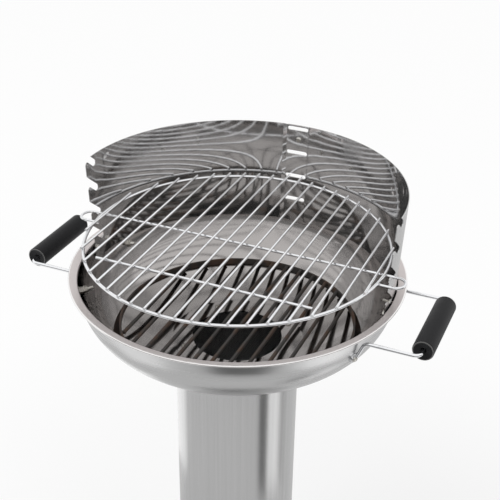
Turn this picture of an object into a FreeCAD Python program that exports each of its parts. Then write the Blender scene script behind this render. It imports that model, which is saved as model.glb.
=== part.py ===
import FreeCAD, Part
import math
import os

from FreeCAD import Vector

# Round pillar charcoal grill in millimetres. +X points to the right handle, +Y to the
# windshield at the rear, +Z up. The origin is on the floor, on the axis of the column.

# Driving dimensions of the bowl
rim_height = 735.0
rim_radius = 262.0
rim_width = 14.5
rim_lip = 3.0
rim_bend = 2.0
bowl_sheet = 1.5
bowl_depth = 125.0
bowl_band = 4.0
bowl_blend_radius = 106.0
bowl_dish_radius = 300.0
bowl_hole_radius = 72.0

# Driving dimensions of the windshield and of its height notches
shield_sheet = 1.2
shield_flare = 2.7
shield_seat_clearance = 0.3
shield_depth = 29.0
shield_front = 22.0
joint_margin = 0.8
joint_gap = 0.15
joint_step = 7.0
joint_edge_gap = 0.8
level_count = 4
level_pitch = 42.5
level_lowest = 5.5
level_top_margin = 13.0
notch_width = 11.0
notch_slope = 40.0
notch_pocket_y = 2.0
notch_lip_radius = 4.5
slot_side_room = 4.4
slot_head_room = 2.2
slot_foot_room = 0.5

# Driving dimensions of the cooking grate, which hangs in one of the levels
grate_level = 1
grate_side_clearance = 8.4
grate_set_back = 4.0
grate_ring_wire = 5.0
grate_bar_wire = 4.0
grate_bar_count = 20
grate_bar_margin = 11.0
grate_tongue = 2.2
carrier_wire = 4.5
carrier_loop_reach = 20.5
carrier_loop_pitch = 30.0
carrier_loop_bend = 14.0
carrier_stub = 4.0
cross_wire_inset = 104.5
cross_wire_gap = 14.0
wire_seat_gap = 0.3
weld_gap = 0.02

# Driving dimensions of the two handles
handle_wire = 5.5
handle_drop = 13.0
handle_reach = 56.0
handle_offset_y = -14.5
handle_bend = 10.0
handle_foot_drop = 41.0
handle_leg_clearance = 1.2
eyelet_radius = 8.0
eyelet_hole_radius = 3.2
eyelet_thickness = 4.0
grip_radius = 16.0
grip_length = 132.0
grip_edge = 1.5
grip_bore_clearance = 0.08
grip_end_gap = 5.0

# Driving dimensions of the charcoal grate
charcoal_depth = 98.0
charcoal_hoop_height = 10.0
charcoal_hoop_sheet = 3.0
charcoal_bar_wire = 6.0
charcoal_bar_count = 12
charcoal_bar_margin = 39.8
charcoal_seat_gap = 0.3

# Driving dimensions of the column, its air collar and its ash pan
column_radius = 100.0
column_sheet = 1.5
column_flange = 16.0
bowl_floor_margin = 4.0
collar_bottom = 150.0
collar_height = 56.0
collar_sheet = 1.5
collar_clearance = 0.3
window_count = 8
window_width = 34.0
window_height = 26.0
bead_radius = 2.5
pan_width = 114.0
pan_height = 50.0
pan_sheet = 1.5
pan_rear = 60.0
pan_corner = 12.0
pan_door_clearance = 4.0
pan_sill = 12.0
pan_glide = 0.3
pan_front_overlap = 7.0
pan_front_sheet = 1.5
runner_width = 10.0
runner_sheet = 1.5
runner_length = 116.0
knob_radius = 11.0
knob_length = 17.0
knob_dome = 4.0
knob_stem_radius = 4.0
knob_stem_length = 9.0

# Driving dimensions of the foot
foot_radius = 210.0
foot_sheet = 2.0
foot_top = 22.0
foot_skirt_gap = 7.0
foot_chamfer = 5.0
pad_count = 4
pad_radius = 17.0
pad_ring_radius = 172.0

# Derived sizes shared by several pieces
Z_AXIS = Vector(0, 0, 1)
ORIGIN = Vector(0, 0, 0)
wall_outer = rim_radius - rim_width + bowl_sheet
wall_inner = rim_radius - rim_width
bowl_floor_radius = column_radius + bowl_floor_margin
bowl_bottom = rim_height - bowl_depth
shield_bottom = rim_height - shield_depth
shield_top = rim_height + level_lowest + (level_count - 1) * level_pitch + level_top_margin
level_heights = [rim_height + level_lowest + k * level_pitch for k in range(level_count)]
carrier_drop = notch_width / 2 - carrier_wire / 2 - wire_seat_gap
ring_rise = carrier_wire / 2 + grate_ring_wire / 2 + weld_gap
bar_rise = grate_ring_wire / 2 + grate_bar_wire / 2 + weld_gap
carrier_z = level_heights[grate_level] - carrier_drop
ring_z = carrier_z + ring_rise
bar_z = ring_z + bar_rise
pan_bottom = foot_top + pan_sill
pan_face_radius = column_radius + collar_clearance


def point(r, z):
    """A point of a profile, at radius r and height z in the XZ plane."""
    return Vector(r, 0, z)


def arc_about(centre, radius, start, end):
    """An arc of a profile about centre (r, z), between two angles in radians."""
    ends = []
    for angle in (start, (start + end) / 2, end):
        ends.append(point(centre[0] + radius * math.cos(angle), centre[1] + radius * math.sin(angle)))
    return Part.Arc(*ends).toShape()


def chain(points):
    """Straight edges through the points of a profile."""
    return [Part.makeLine(a, b) for a, b in zip(points, points[1:])]


def revolved(edges, start=0.0, sweep=360.0):
    """The solid that a closed profile sweeps about the Z axis, from a start angle in degrees."""
    face = Part.Face(Part.Wire(Part.__sortEdges__(edges)))
    face.rotate(ORIGIN, Z_AXIS, start)
    return face.revolve(ORIGIN, Z_AXIS, sweep)


def closed(points):
    """Straight edges through the points and back to the first."""
    return chain(points + points[:1])


def tube(r_inner, r_outer, z_low, z_high, start=0.0, sweep=360.0):
    """A ring or a sector of a ring with a rectangular section."""
    corners = [point(r_inner, z_low), point(r_outer, z_low), point(r_outer, z_high), point(r_inner, z_high)]
    return revolved(closed(corners), start, sweep)


def rod(start, end, radius):
    """A straight round wire between two points."""
    along = end - start
    return Part.makeCylinder(radius, along.Length, start, along)


def bent_wire(corners, bend, radius):
    """A round wire along straight runs, with each corner bent as a tangent arc."""
    edges = []
    start = corners[0]
    for before, corner, after in zip(corners, corners[1:], corners[2:]):
        back = (before - corner).normalize()
        forth = (after - corner).normalize()
        half = back.getAngle(forth) / 2
        reach = bend / math.tan(half)
        middle = (back + forth).normalize()
        near = corner + back * reach
        far = corner + forth * reach
        crown = corner + middle * (bend / math.sin(half) - bend)
        edges.append(Part.makeLine(start, near))
        edges.append(Part.Arc(near, crown, far).toShape())
        start = far
    edges.append(Part.makeLine(start, corners[-1]))
    path = Part.Wire(edges)
    first = edges[0]
    section = Part.Wire(Part.makeCircle(radius, corners[0], first.tangentAt(first.FirstParameter)))
    return path.makePipeShell([section], True, False)


def dish_centre():
    """Centre (r, z) of the dish arc, which runs through the floor's edge and is tangent to the blend."""
    blend = (wall_outer - bowl_blend_radius, rim_height - bowl_band)
    edge = (bowl_floor_radius, bowl_bottom)
    to_edge = bowl_dish_radius
    to_blend = bowl_dish_radius - bowl_blend_radius
    across = (edge[0] - blend[0], edge[1] - blend[1])
    span = math.hypot(*across)
    along = (to_blend ** 2 - to_edge ** 2 + span ** 2) / (2 * span)
    off = math.sqrt(to_blend ** 2 - along ** 2)
    unit = (across[0] / span, across[1] / span)
    return (blend[0] + unit[0] * along + unit[1] * off, blend[1] + unit[1] * along - unit[0] * off)


def bowl_angles():
    """Blend centre, dish centre and the angle at which the two arcs meet."""
    blend = (wall_outer - bowl_blend_radius, rim_height - bowl_band)
    dish = dish_centre()
    return blend, dish, math.atan2(blend[1] - dish[1], blend[0] - dish[0])


def bowl_radius(z, inset=0.0):
    """Radius of the bowl's outer face at a height, or of a face inset from it."""
    blend, dish, meeting = bowl_angles()
    if z >= blend[1]:
        return wall_outer - inset
    centre, radius = blend, bowl_blend_radius - inset
    if z < blend[1] + radius * math.sin(meeting):
        centre, radius = dish, bowl_dish_radius - inset
    return centre[0] + math.sqrt(radius ** 2 - (z - centre[1]) ** 2)


def bowl_slope(z):
    """Angle of the bowl's outer face below the horizontal normal at a height, in radians."""
    blend, dish, meeting = bowl_angles()
    if z < blend[1] + bowl_blend_radius * math.sin(meeting):
        return math.asin((z - dish[1]) / bowl_dish_radius)
    return math.asin(min(0.0, z - blend[1]) / bowl_blend_radius)


def make_bowl():
    """Spun sheet bowl: flat rim with a turned-down lip, straight band, blend, dish and open floor."""
    blend, dish, meeting = bowl_angles()
    outer_floor = math.atan2(bowl_bottom - dish[1], bowl_floor_radius - dish[0])
    inner_floor_z = bowl_bottom + bowl_sheet
    inner_floor = math.asin((inner_floor_z - dish[1]) / (bowl_dish_radius - bowl_sheet))
    inner_floor_r = dish[0] + (bowl_dish_radius - bowl_sheet) * math.cos(inner_floor)
    under = rim_height - bowl_sheet
    bend_centre = (rim_radius - rim_bend, rim_height - rim_bend)
    lip_z = rim_height - rim_lip
    edges = chain([
        point(wall_inner, blend[1]),
        point(wall_inner, rim_height - rim_bend),
        point(wall_inner + rim_bend, rim_height),
        point(bend_centre[0], rim_height),
    ])
    edges.append(arc_about(bend_centre, rim_bend, math.pi / 2, 0.0))
    edges += chain([
        point(rim_radius, bend_centre[1]),
        point(rim_radius, lip_z),
        point(rim_radius - bowl_sheet, lip_z),
        point(rim_radius - bowl_sheet, under),
        point(wall_outer, under),
        point(wall_outer, blend[1]),
    ])
    edges.append(arc_about(blend, bowl_blend_radius, 0.0, meeting))
    edges.append(arc_about(dish, bowl_dish_radius, meeting, outer_floor))
    edges += chain([
        point(bowl_floor_radius, bowl_bottom),
        point(bowl_hole_radius, bowl_bottom),
        point(bowl_hole_radius, inner_floor_z),
        point(inner_floor_r, inner_floor_z),
    ])
    edges.append(arc_about(dish, bowl_dish_radius - bowl_sheet, inner_floor, meeting))
    edges.append(arc_about(blend, bowl_blend_radius - bowl_sheet, meeting, 0.0))
    return revolved(edges)


def shield_radius(z):
    """Radius of the windshield's outer face at a height. The sheet leans outwards by the flare."""
    seat = bowl_radius(shield_bottom, bowl_sheet) - shield_seat_clearance
    return seat + (z - shield_bottom) * math.tan(math.radians(shield_flare))


def shield_section(inset, angle):
    """Upright section of the leaning sheet at an angle in degrees, inset from the outer face."""
    low = shield_radius(shield_bottom) - inset
    high = shield_radius(shield_top) - inset
    corners = [
        point(low - shield_sheet, shield_bottom),
        point(low, shield_bottom),
        point(high, shield_top),
        point(high - shield_sheet, shield_top),
    ]
    section = Part.makePolygon(corners + corners[:1])
    section.rotate(ORIGIN, Z_AXIS, angle)
    return section


def shield_layer(inset, start, end):
    """A sector of the leaning sheet between two angles in degrees, inset from the outer face."""
    return Part.Face(shield_section(inset, start)).revolve(ORIGIN, Z_AXIS, end - start)


def notch_cutter(z):
    """Sloping hooked notch with its pocket at height z, open to the front edge of the sheet.

    The outline is in the YZ plane: upper side, round pocket, lower side and the rounded lip.
    """
    half = notch_width / 2
    slope = math.radians(notch_slope)
    out = Vector(0, -math.cos(slope), math.sin(slope))
    up = Vector(0, math.sin(slope), math.cos(slope))
    pocket = Vector(0, notch_pocket_y, z)
    lip_y = notch_lip_radius - shield_front
    lower_start = pocket - up * half
    lip_run = (lower_start.y + up.y * -notch_lip_radius - lip_y) / math.cos(slope)
    lip_tangent = lower_start + out * lip_run
    lip_centre = lip_tangent - up * notch_lip_radius
    lip_side = lip_centre + Vector(0, -notch_lip_radius, 0)
    lip_crown = lip_centre + (Vector(0, -1, 0) + up).normalize() * notch_lip_radius
    clear = shield_front
    upper_start = pocket + up * half
    upper_end = upper_start + out * ((upper_start.y + shield_front + clear) / math.cos(slope))
    outline = [
        Part.makeLine(upper_end, upper_start),
        Part.Arc(upper_start, pocket - out * half, lower_start).toShape(),
        Part.makeLine(lower_start, lip_tangent),
        Part.Arc(lip_tangent, lip_crown, lip_side).toShape(),
    ]
    outer_low = Vector(0, upper_end.y, lip_side.z)
    outline += [Part.makeLine(lip_side, outer_low), Part.makeLine(outer_low, upper_end)]
    face = Part.Face(Part.Wire(outline))
    face.translate(Vector(-2 * rim_radius, 0, 0))
    return face.extrude(Vector(4 * rim_radius, 0, 0))


def slot_half():
    """Half width of the rear slots: the tongue and the room beside it."""
    places = bar_places(grate_radius(), grate_bar_count, grate_bar_margin)
    return places[tongue_bars()[1]] + grate_bar_wire / 2 + slot_side_room


def slot_cutter(z_low, z_high):
    """Level slot with round ends through the rear of the windshield."""
    half = (z_high - z_low) / 2
    middle = (z_high + z_low) / 2
    reach = slot_half() - half
    start = wall_inner / 2
    outline = [
        Part.makeLine(Vector(-reach, start, z_low), Vector(reach, start, z_low)),
        Part.Arc(
            Vector(reach, start, z_low), Vector(reach + half, start, middle), Vector(reach, start, z_high)
        ).toShape(),
        Part.makeLine(Vector(reach, start, z_high), Vector(-reach, start, z_high)),
        Part.Arc(
            Vector(-reach, start, z_high), Vector(-reach - half, start, middle), Vector(-reach, start, z_low)
        ).toShape(),
    ]
    return Part.Face(Part.Wire(outline)).extrude(Vector(0, rim_radius, 0))


def shield_cutters():
    """Front trim, one notch for each level at both ends and one rear slot for each level."""
    trim = Part.makeBox(
        4 * rim_radius, rim_radius, 2 * rim_height, Vector(-2 * rim_radius, -rim_radius - shield_front, 0)
    )
    cutters = [trim]
    for z in level_heights:
        bar = z - carrier_drop + ring_rise + bar_rise
        half_bar = grate_bar_wire / 2
        cutters.append(notch_cutter(z))
        cutters.append(slot_cutter(bar - half_bar - slot_foot_room, bar + half_bar + slot_head_room))
    return cutters


def make_windshield():
    """Left and right sheets. The left one steps inwards and laps inside the right one at the rear.

    The lap is wider than the rear slots, and the step is a straight joggle between two sections.
    """
    half = math.degrees(math.asin((slot_half() + joint_margin) / wall_inner))
    step = math.degrees(joint_step / wall_inner)
    edge = math.degrees(joint_edge_gap / wall_inner)
    front = 2 * math.degrees(math.asin(shield_front / wall_inner))
    lap_inset = shield_sheet + joint_gap
    right = shield_layer(0.0, -front, 90 + half - edge)
    left = shield_layer(0.0, 90 + half + step, 180 + front)
    lap = shield_layer(lap_inset, 90 - half, 90 + half)
    sections = [shield_section(lap_inset, 90 + half), shield_section(0.0, 90 + half + step)]
    joggle = Part.makeLoft(sections, True, True)
    left = left.fuse([joggle, lap])
    cutters = shield_cutters()
    return left.cut(cutters).removeSplitter(), right.cut(cutters).removeSplitter()


def grate_radius():
    """Outer radius of the cooking grate's ring, clear of the windshield at its level."""
    return shield_radius(ring_z) - 2 * shield_sheet - joint_gap - grate_side_clearance


def grate_centre():
    """Centre of the ring in Y: it lies a little in front of the carrier wire."""
    return notch_pocket_y - grate_set_back


def bar_places(outer_radius, count, margin):
    """Places of parallel bars across a round grate, evenly spaced between its margins."""
    reach = outer_radius - margin
    return [reach * (2 * k / (count - 1) - 1) for k in range(count)]


def tongue_bars():
    """Numbers of the middle two bars, which make the tongue."""
    return grate_bar_count // 2 - 1, grate_bar_count // 2


def make_grate_ring():
    """Round wire ring on which the bars lie."""
    middle = grate_radius() - grate_ring_wire / 2
    return Part.makeTorus(middle, grate_ring_wire / 2, Vector(0, grate_centre(), ring_z))


def make_grate_bars():
    """Parallel bars on top of the ring. The middle two run on into the rear slot as a tongue."""
    bars = []
    tongue_from = shield_radius(bar_z) - 2 * shield_sheet - joint_gap
    for k, x in enumerate(bar_places(grate_radius(), grate_bar_count, grate_bar_margin)):
        reach = math.sqrt(grate_radius() ** 2 - x ** 2)
        rear = grate_centre() + reach
        if k in tongue_bars():
            rear = math.sqrt(tongue_from ** 2 - x ** 2) + grate_tongue
        start = Vector(x, grate_centre() - reach, bar_z)
        bars.append(rod(start, Vector(x, rear, bar_z), grate_bar_wire / 2))
    return bars


def make_carrier():
    """Wire under the ring that lies in the notches. Each end turns back outside the windshield."""
    side = shield_radius(carrier_z) + carrier_loop_reach
    front = notch_pocket_y - carrier_loop_pitch
    ring_middle = grate_radius() - grate_ring_wire / 2
    crossing = math.sqrt(ring_middle ** 2 - (front - grate_centre()) ** 2)
    stub = crossing - carrier_stub
    corners = [
        Vector(-stub, front, carrier_z),
        Vector(-side, front, carrier_z),
        Vector(-side, notch_pocket_y, carrier_z),
        Vector(side, notch_pocket_y, carrier_z),
        Vector(side, front, carrier_z),
        Vector(stub, front, carrier_z),
    ]
    return bent_wire(corners, carrier_loop_bend, carrier_wire / 2)


def make_cross_wire():
    """Straight wire under the bars near the front, just inside the ring."""
    z = bar_z - grate_bar_wire / 2 - carrier_wire / 2 - weld_gap
    inner = grate_radius() - grate_ring_wire - cross_wire_gap
    forward = grate_radius() - cross_wire_inset
    y = grate_centre() - forward
    half = math.sqrt(inner ** 2 - (forward + carrier_wire / 2) ** 2)
    return rod(Vector(-half, y, z), Vector(half, y, z), carrier_wire / 2)


def handle_places():
    """Y places of a handle's two legs, outside the ends of the grip."""
    half = grip_length / 2 + grip_end_gap + handle_bend
    return handle_offset_y - half, handle_offset_y + half


def wall_spot(y, z):
    """Point on the bowl's outer face at a place y and height z on the +X side, and the face's normal."""
    r = bowl_radius(z)
    x = math.sqrt(r ** 2 - y ** 2)
    slope = bowl_slope(z)
    normal = Vector(math.cos(slope) * x / r, math.cos(slope) * y / r, math.sin(slope))
    return Vector(x, y, z), normal


def make_handle():
    """Bent wire handle on the +X side, with an eyelet against the bowl at the end of each leg."""
    z_leg = rim_height - handle_drop
    z_foot = rim_height - handle_foot_drop
    x_grip = rim_radius + handle_reach
    stand_off = handle_wire / 2 + handle_leg_clearance
    legs = []
    eyelets = []
    for y in handle_places():
        spot, normal = wall_spot(y, z_foot)
        knee = wall_spot(y, z_leg)[0] + Vector(stand_off + handle_bend / 2, 0, 0)
        rise = knee - spot
        along = (rise - normal * rise.dot(normal)).normalize()
        end = spot + normal * stand_off + along * (eyelet_radius - handle_wire / 2)
        legs.append([end, knee, Vector(x_grip, y, z_leg)])
        eyelets.append((spot + normal * weld_gap, normal))
    corners = legs[0] + legs[1][::-1]
    shape = bent_wire(corners, handle_bend, handle_wire / 2)
    discs = [Part.makeCylinder(eyelet_radius, eyelet_thickness, at, normal) for at, normal in eyelets]
    holes = [
        Part.makeCylinder(eyelet_hole_radius, 4 * eyelet_thickness, at - normal * eyelet_thickness, normal)
        for at, normal in eyelets
    ]
    return shape.fuse(discs).cut(holes).removeSplitter()


def make_grip():
    """Turned grip on the handle wire, with a through bore and chamfered ends."""
    centre = Vector(rim_radius + handle_reach, handle_offset_y - grip_length / 2, rim_height - handle_drop)
    bore = handle_wire / 2 + grip_bore_clearance
    profile = closed([
        point(bore, 0.0),
        point(grip_radius - grip_edge, 0.0),
        point(grip_radius, grip_edge),
        point(grip_radius, grip_length - grip_edge),
        point(grip_radius - grip_edge, grip_length),
        point(bore, grip_length),
    ])
    shape = revolved(profile)
    shape.rotate(ORIGIN, Vector(1, 0, 0), -90)
    shape.translate(centre)
    return shape


def mirrored(shape):
    """The same piece on the -X side."""
    return shape.mirror(ORIGIN, Vector(1, 0, 0))


def charcoal_radius():
    """Outer radius of the charcoal grate's hoop, whose lower edge rests on the dish."""
    return bowl_radius(rim_height - charcoal_depth, bowl_sheet) - charcoal_seat_gap


def make_charcoal_hoop():
    """Flat hoop of the charcoal grate, resting in the dish."""
    low = rim_height - charcoal_depth
    return tube(charcoal_radius() - charcoal_hoop_sheet, charcoal_radius(), low, low + charcoal_hoop_height)


def make_charcoal_bars():
    """Parallel bars inside the hoop, flush with its upper edge."""
    inner = charcoal_radius() - charcoal_hoop_sheet - weld_gap
    z = rim_height - charcoal_depth + charcoal_hoop_height - charcoal_bar_wire / 2
    bars = []
    for x in bar_places(inner, charcoal_bar_count, charcoal_bar_margin):
        half = math.sqrt(inner ** 2 - (abs(x) + charcoal_bar_wire / 2) ** 2)
        bars.append(rod(Vector(x, -half, z), Vector(x, half, z), charcoal_bar_wire / 2))
    return bars


def window_cutters(radius):
    """Air windows with round ends, cut outwards through a tube, all round at one height."""
    z = collar_bottom + collar_height / 2
    half = window_height / 2
    reach = window_width / 2 - half
    outline = [
        Part.makeLine(Vector(0, -reach, z - half), Vector(0, reach, z - half)),
        Part.Arc(Vector(0, reach, z - half), Vector(0, reach + half, z), Vector(0, reach, z + half)).toShape(),
        Part.makeLine(Vector(0, reach, z + half), Vector(0, -reach, z + half)),
        Part.Arc(Vector(0, -reach, z + half), Vector(0, -reach - half, z), Vector(0, -reach, z - half)).toShape(),
    ]
    window = Part.Face(Part.Wire(outline)).extrude(Vector(2 * radius, 0, 0))
    cutters = []
    for k in range(window_count):
        cutter = window.copy()
        cutter.rotate(ORIGIN, Z_AXIS, 360 * k / window_count)
        cutters.append(cutter)
    return cutters


def make_column():
    """Sheet column with turned-in flanges, a bead under the collar, air windows and the pan's door."""
    inner = column_radius - column_sheet
    flange = inner - column_flange
    bead_z = collar_bottom - collar_clearance - bead_radius
    edges = chain([
        point(column_radius, bead_z - bead_radius),
        point(column_radius, foot_top),
        point(flange, foot_top),
        point(flange, foot_top + column_sheet),
        point(inner, foot_top + column_sheet),
        point(inner, bowl_bottom - column_sheet),
        point(flange, bowl_bottom - column_sheet),
        point(flange, bowl_bottom),
        point(column_radius, bowl_bottom),
        point(column_radius, bead_z + bead_radius),
    ])
    edges.append(arc_about((column_radius, bead_z), bead_radius, math.pi / 2, -math.pi / 2))
    door_half = pan_width / 2 + pan_door_clearance
    door = Part.makeBox(
        2 * door_half,
        2 * column_radius,
        pan_height + pan_sill / 2 + pan_door_clearance,
        Vector(-door_half, -2 * column_radius, foot_top + pan_sill / 2),
    )
    return revolved(edges).cut(window_cutters(column_radius) + [door])


def make_collar():
    """Air collar that turns on the column and covers its windows."""
    inner = column_radius + collar_clearance
    shape = tube(inner, inner + collar_sheet, collar_bottom, collar_bottom + collar_height)
    return shape.cut(window_cutters(column_radius))


def make_knob():
    """Turned knob with a domed crown on a stem, standing on the XY plane along Z."""
    crown = knob_stem_length + knob_length
    dome_radius = (knob_radius ** 2 + knob_dome ** 2) / (2 * knob_dome)
    shoulder = math.acos(knob_radius / dome_radius)
    edges = chain([
        point(0, crown),
        point(0, 0),
        point(knob_stem_radius, 0),
        point(knob_stem_radius, knob_stem_length),
        point(knob_radius, knob_stem_length),
        point(knob_radius, crown - knob_dome),
    ])
    edges.append(arc_about((0.0, crown - dome_radius), dome_radius, shoulder, math.pi / 2))
    return revolved(edges)


def radial_knob(radius, z, angle):
    """The knob, standing outwards on a round face at an angle in degrees."""
    knob = make_knob()
    knob.rotate(ORIGIN, Vector(0, 1, 0), 90)
    knob.translate(Vector(radius, 0, z))
    knob.rotate(ORIGIN, Z_AXIS, angle)
    return knob


def pan_outline(inset):
    """Plan of the ash pan: straight sides, round rear corners and a front that follows the column."""
    half = pan_width / 2 - inset
    front = pan_face_radius - weld_gap - inset
    rear = pan_rear - inset
    corner = pan_corner - inset
    cheek = -math.sqrt(front ** 2 - half ** 2)
    diagonal = corner * (1 - math.sqrt(0.5))
    edges = [
        Part.Arc(Vector(-half, cheek, 0), Vector(0, -front, 0), Vector(half, cheek, 0)).toShape(),
        Part.makeLine(Vector(half, cheek, 0), Vector(half, rear - corner, 0)),
        Part.Arc(
            Vector(half, rear - corner, 0),
            Vector(half - diagonal, rear - diagonal, 0),
            Vector(half - corner, rear, 0),
        ).toShape(),
        Part.makeLine(Vector(half - corner, rear, 0), Vector(corner - half, rear, 0)),
        Part.Arc(
            Vector(corner - half, rear, 0),
            Vector(diagonal - half, rear - diagonal, 0),
            Vector(-half, rear - corner, 0),
        ).toShape(),
        Part.makeLine(Vector(-half, rear - corner, 0), Vector(-half, cheek, 0)),
    ]
    return Part.Face(Part.Wire(edges))


def make_ash_pan():
    """Open sheet pan that slides in through the column's door."""
    body = pan_outline(0.0).extrude(Vector(0, 0, pan_height))
    hollow = pan_outline(pan_sheet).extrude(Vector(0, 0, pan_height))
    hollow.translate(Vector(0, 0, pan_sheet))
    pan = body.cut(hollow)
    pan.translate(Vector(0, 0, pan_bottom))
    return pan


def make_pan_front():
    """Curved front of the ash pan, lapping over the edges of the door."""
    half = pan_width / 2 + pan_door_clearance + pan_front_overlap
    angle = math.degrees(math.asin(half / pan_face_radius))
    low = foot_top + pan_sill / 2 - pan_front_overlap / 2
    high = pan_bottom + pan_height + pan_front_overlap
    return tube(pan_face_radius, pan_face_radius + pan_front_sheet, low, high, -90 - angle, 2 * angle)


def make_runner():
    """Angle strip on the foot that carries the ash pan on the +X side."""
    height = pan_sill - pan_glide
    x = pan_width / 2 - pan_corner - runner_width
    outline = [
        Vector(x, 0, 0),
        Vector(x + runner_width, 0, 0),
        Vector(x + runner_width, 0, runner_sheet),
        Vector(x + runner_sheet, 0, runner_sheet),
        Vector(x + runner_sheet, 0, height),
        Vector(x, 0, height),
    ]
    runner = Part.Face(Part.makePolygon(outline + outline[:1])).extrude(Vector(0, runner_length, 0))
    runner.translate(Vector(0, -runner_length / 2, foot_top))
    return runner


def make_foot():
    """Round foot plate with a chamfered edge and a skirt that stays off the floor."""
    return revolved(closed([
        point(0, foot_top),
        point(foot_radius - foot_chamfer, foot_top),
        point(foot_radius, foot_top - foot_chamfer),
        point(foot_radius, foot_skirt_gap),
        point(foot_radius - foot_sheet, foot_skirt_gap),
        point(foot_radius - foot_sheet, foot_top - foot_chamfer),
        point(foot_radius - foot_chamfer, foot_top - foot_sheet),
        point(0, foot_top - foot_sheet),
    ]))


def make_pads():
    """Rubber pads under the foot plate, evenly spaced."""
    pads = []
    for k in range(pad_count):
        pad = Part.makeCylinder(pad_radius, foot_top - foot_sheet)
        pad.translate(Vector(pad_ring_radius, 0, 0))
        pad.rotate(ORIGIN, Z_AXIS, 360 * (k + 0.5) / pad_count)
        pads.append(pad)
    return pads


def build():
    """Every sub-part by its node name."""
    nodes = {"fire_bowl": make_bowl()}
    nodes["windshield_left"], nodes["windshield_right"] = make_windshield()
    nodes["handle_wire_right"] = make_handle()
    nodes["handle_wire_left"] = mirrored(nodes["handle_wire_right"])
    nodes["grip_right"] = make_grip()
    nodes["grip_left"] = mirrored(nodes["grip_right"])
    nodes["grate_ring"] = make_grate_ring()
    nodes["grate_carrier"] = make_carrier()
    nodes["grate_cross_wire"] = make_cross_wire()
    for k, bar in enumerate(make_grate_bars(), 1):
        nodes[f"grate_bar_{k:02d}"] = bar
    nodes["charcoal_hoop"] = make_charcoal_hoop()
    for k, bar in enumerate(make_charcoal_bars(), 1):
        nodes[f"charcoal_bar_{k:02d}"] = bar
    nodes["column"] = make_column()
    nodes["air_collar"] = make_collar()
    collar_face = column_radius + collar_clearance + collar_sheet
    knob_angle = -90 + 180 / window_count
    nodes["collar_knob"] = radial_knob(collar_face, collar_bottom + collar_height / 2, knob_angle)
    nodes["ash_pan"] = make_ash_pan()
    nodes["ash_pan_front"] = make_pan_front()
    nodes["ash_pan_knob"] = radial_knob(pan_face_radius + pan_front_sheet, pan_bottom + pan_height / 2, -90)
    nodes["ash_runner_right"] = make_runner()
    nodes["ash_runner_left"] = mirrored(nodes["ash_runner_right"])
    nodes["foot_plate"] = make_foot()
    for k, pad in enumerate(make_pads(), 1):
        nodes[f"foot_pad_{k}"] = pad
    return nodes


def main():
    """Write one STEP file for each sub-part."""
    os.makedirs("parts", exist_ok=True)
    for name, shape in build().items():
        shape.exportStep(f"parts/{name}.step")


main()
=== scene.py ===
import math

import bmesh
import bpy
import numpy as np
from bpy.props import FloatProperty, FloatVectorProperty, IntProperty, PointerProperty
from bpy.types import Operator, Panel, PropertyGroup
from mathutils import Matrix, Vector


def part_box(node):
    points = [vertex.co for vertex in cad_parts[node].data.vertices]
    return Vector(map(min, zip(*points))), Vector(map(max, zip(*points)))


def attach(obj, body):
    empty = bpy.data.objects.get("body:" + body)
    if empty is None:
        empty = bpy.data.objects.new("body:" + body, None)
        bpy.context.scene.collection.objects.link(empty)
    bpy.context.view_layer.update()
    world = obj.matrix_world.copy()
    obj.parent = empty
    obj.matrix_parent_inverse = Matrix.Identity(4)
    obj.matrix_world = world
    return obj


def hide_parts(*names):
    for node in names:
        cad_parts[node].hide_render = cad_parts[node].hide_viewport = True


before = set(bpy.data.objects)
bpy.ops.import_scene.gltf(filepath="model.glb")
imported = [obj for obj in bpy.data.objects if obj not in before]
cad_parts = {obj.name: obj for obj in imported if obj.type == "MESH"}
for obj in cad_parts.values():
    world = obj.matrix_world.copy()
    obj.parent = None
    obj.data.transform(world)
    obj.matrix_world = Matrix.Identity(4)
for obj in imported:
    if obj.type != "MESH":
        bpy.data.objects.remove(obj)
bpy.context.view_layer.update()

bl_info = {
    "name": "Pillar grill dressing",
    "version": (1, 0, 0),
    "blender": (4, 5, 0),
    "location": "3D View > Sidebar > Grill",
    "description": "Finishes, fasteners, welds and a studio for a round pillar grill",
    "category": "Object",
}

TURN = 2 * math.pi
REAR = np.array([0.0, 1.0, 0.0])
UP = np.array([0.0, 0.0, 1.0])
# Points closer than the first length are merged, and faces thinner than the second are removed
MERGE, SLIVER = 1e-7, 1e-8

# Places read from the frame, in metres
BOWL_LOW, BOWL_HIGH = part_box("fire_bowl")
RIM_RADIUS = min(BOWL_HIGH.x, BOWL_HIGH.y)
RIM_HEIGHT = BOWL_HIGH.z
BOWL_BOTTOM = BOWL_LOW.z
RING_LOW, RING_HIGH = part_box("grate_ring")
CARRIER_LOW, CARRIER_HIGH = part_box("grate_carrier")
CROSS_LOW, CROSS_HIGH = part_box("grate_cross_wire")
SHIELD_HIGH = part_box("windshield_right")[1]
COLLAR_LOW, COLLAR_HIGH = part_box("air_collar")
COLUMN_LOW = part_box("column")[0]
FOOT_LOW, FOOT_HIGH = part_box("foot_plate")
PAN_LOW, PAN_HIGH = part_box("ash_pan")

# Weld beads along X, Y and Z, in weld radii
RING_BEAD = (0.9, 1.0, 0.55)
CROSS_BEAD = (0.9, 0.9, 0.5)
CARRIER_BEAD = (1.0, 0.9, 0.55)
HOOP_BEAD = (1.5, 0.7, 1.2)

# Lamps: name, place, width of the square, and which property of the studio is the power
LAMP_AIM = (0.0, 0.0, 0.7)
LAMPS = (
    ("key_lamp", (-1.9, -1.7, 3.2), 3.0, "key"),
    ("fill_lamp", (2.6, -0.9, 2.2), 2.0, "fill"),
)

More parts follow.
